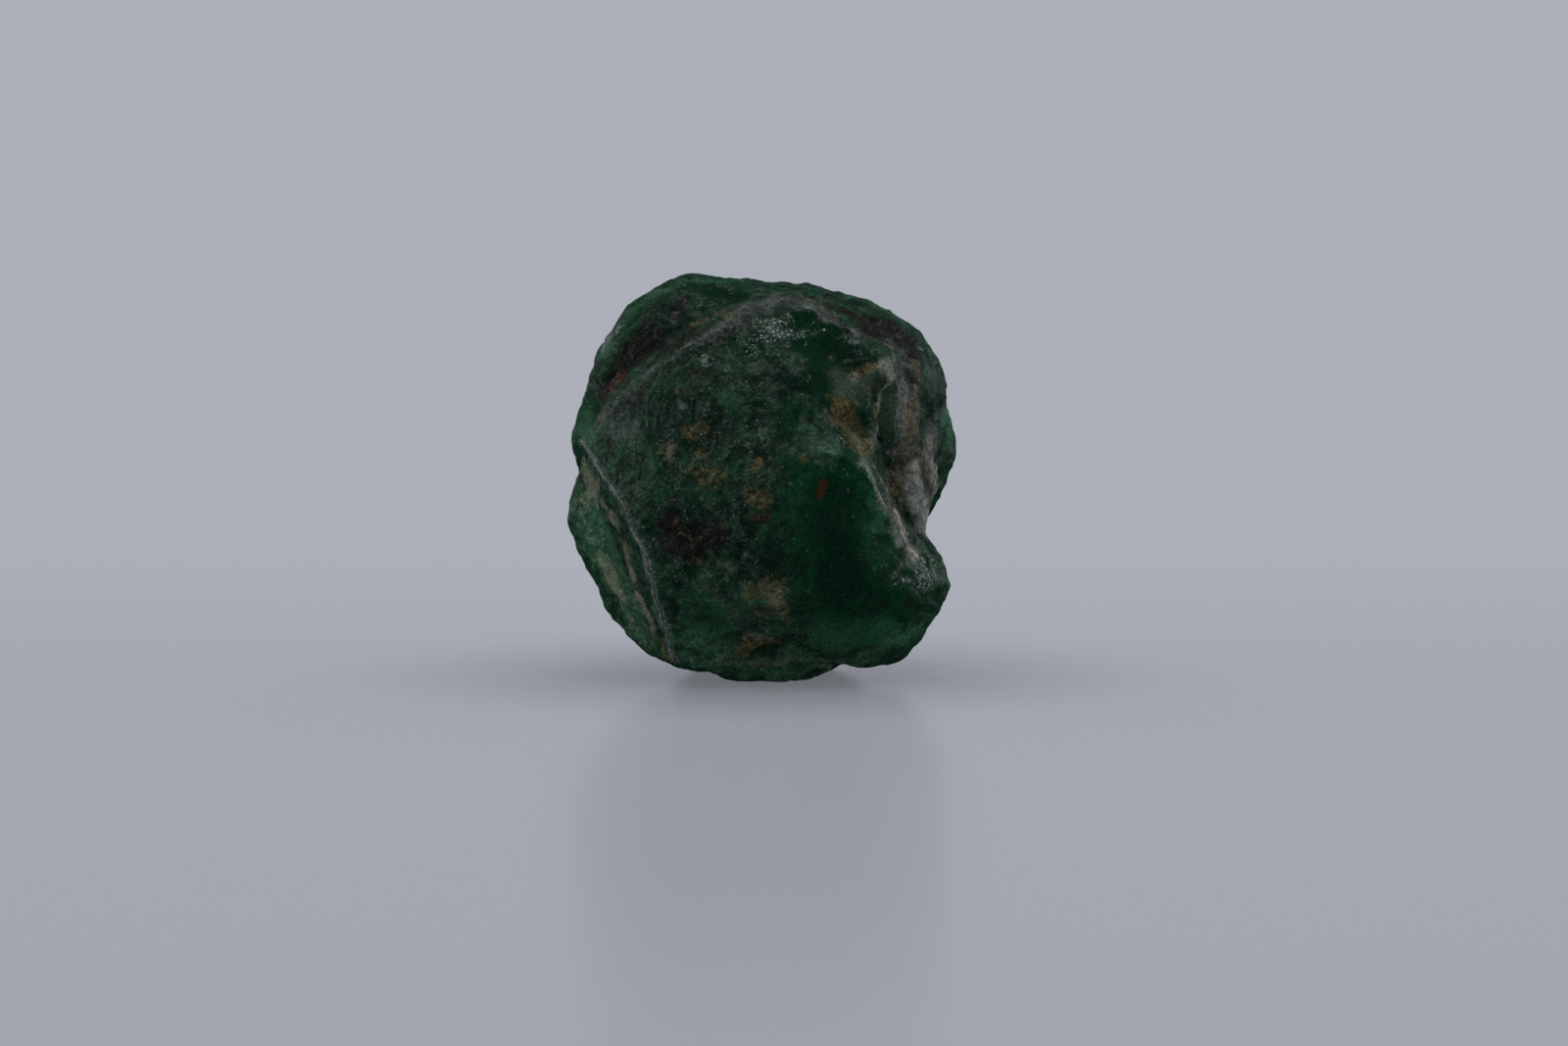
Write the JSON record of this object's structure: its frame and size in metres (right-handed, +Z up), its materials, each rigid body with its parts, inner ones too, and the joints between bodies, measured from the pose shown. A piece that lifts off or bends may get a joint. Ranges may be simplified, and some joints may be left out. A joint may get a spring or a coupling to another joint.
{
  "type": "raw emerald crystal",
  "caption": "Rough, unpolished emerald: one broken green crystal with a glassy lobe, a dark pit and a stained side, standing on a small flat fracture.",
  "frame": {"origin": "centre of the stone's footprint box, on the surface it stands on", "axes": "+Z up; -Y is the front, the broad face with the dark pit and the glassy lobe; +X is the stone's right as seen from the front"},
  "size_m": [0.0204, 0.0176, 0.021],
  "materials": {
    "emerald": "rough fracture with glassy patches"
  },
  "bodies": {
    "root": {"emerald": "emerald"}
  },
  "joints": []
}
